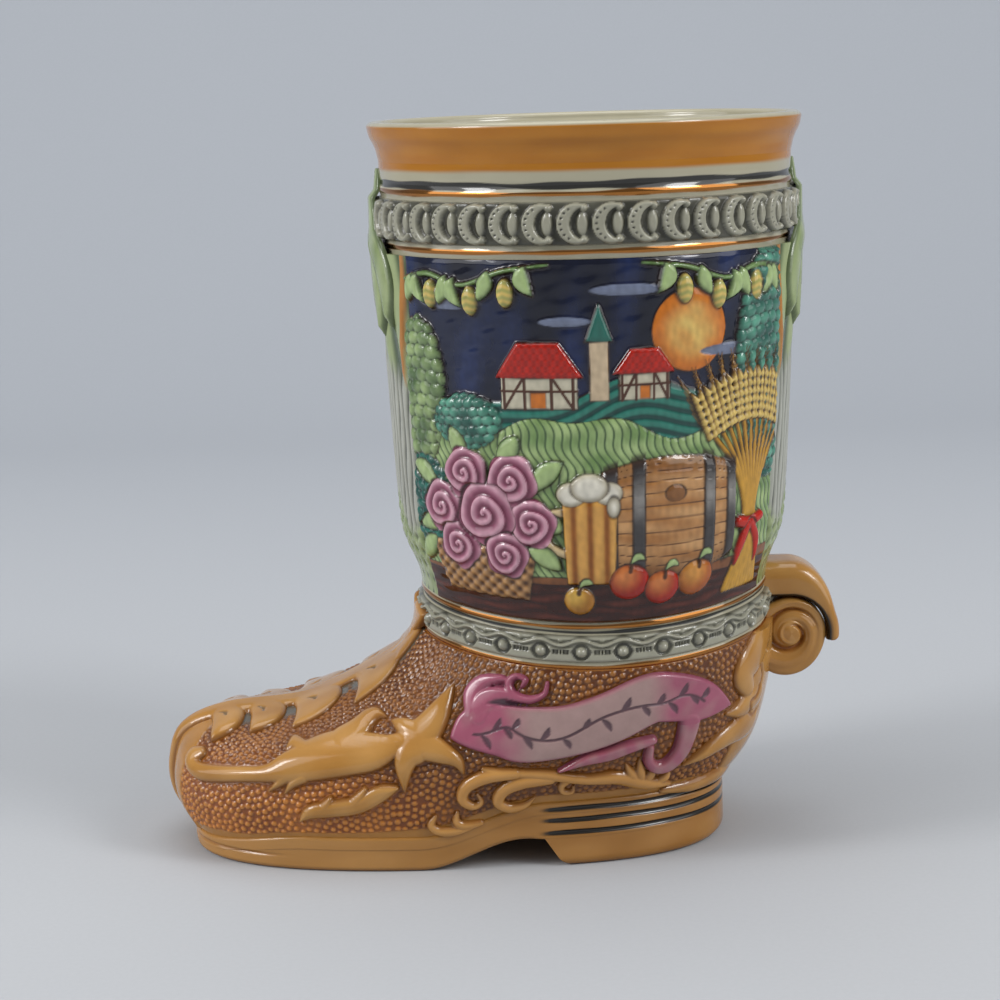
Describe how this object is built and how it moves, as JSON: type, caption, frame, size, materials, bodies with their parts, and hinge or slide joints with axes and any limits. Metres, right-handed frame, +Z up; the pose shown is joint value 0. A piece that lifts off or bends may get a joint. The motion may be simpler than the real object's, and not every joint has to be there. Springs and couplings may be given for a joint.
{
  "type": "boot beer stein",
  "caption": "Boot-shaped drinking stein of glazed stoneware with a round open leg, hollow foot, arched sole, heel and scrolled spur, relief bands, picture fields and leaf sprigs.",
  "frame": {"origin": "centre of the whole stein's box in plan, on the ground it stands on", "axes": "+Z up along the leg, -X towards the toe, +X towards the spur, -Y the left side of the boot"},
  "size_m": [0.1454, 0.09, 0.152],
  "materials": {
    "cream_glaze": "gloss",
    "amber_glaze": "gloss",
    "pewter_glaze": "gloss",
    "painted_glaze": "gloss",
    "moss_glaze": "gloss",
    "brown_glaze": "gloss",
    "tan_glaze": "gloss",
    "pink_glaze": "gloss"
  },
  "bodies": {
    "root": {"leg_shaft": "cream_glaze", "rim_lip": "amber_glaze", "collar_band": "pewter_glaze", "ankle_band": "pewter_glaze", "scene_panel_left": "painted_glaze", "scene_panel_right": "painted_glaze", "shin_trunk": "moss_glaze", "calf_trunk": "moss_glaze", "shin_leaf": "moss_glaze", "calf_leaf": "moss_glaze", "foot_upper": "brown_glaze", "sole": "brown_glaze", "heel": "brown_glaze", "welt": "tan_glaze", "toe_crest": "tan_glaze", "counter_leaf": "tan_glaze", "spur_strap": "tan_glaze", "spur_volute": "tan_glaze", "side_leaf_left": "tan_glaze", "side_leaf_right": "tan_glaze", "frond_left": "tan_glaze", "frond_right": "tan_glaze", "vine_left": "tan_glaze", "vine_right": "tan_glaze", "banner_left": "pink_glaze", "banner_right": "pink_glaze"}
  },
  "joints": []
}
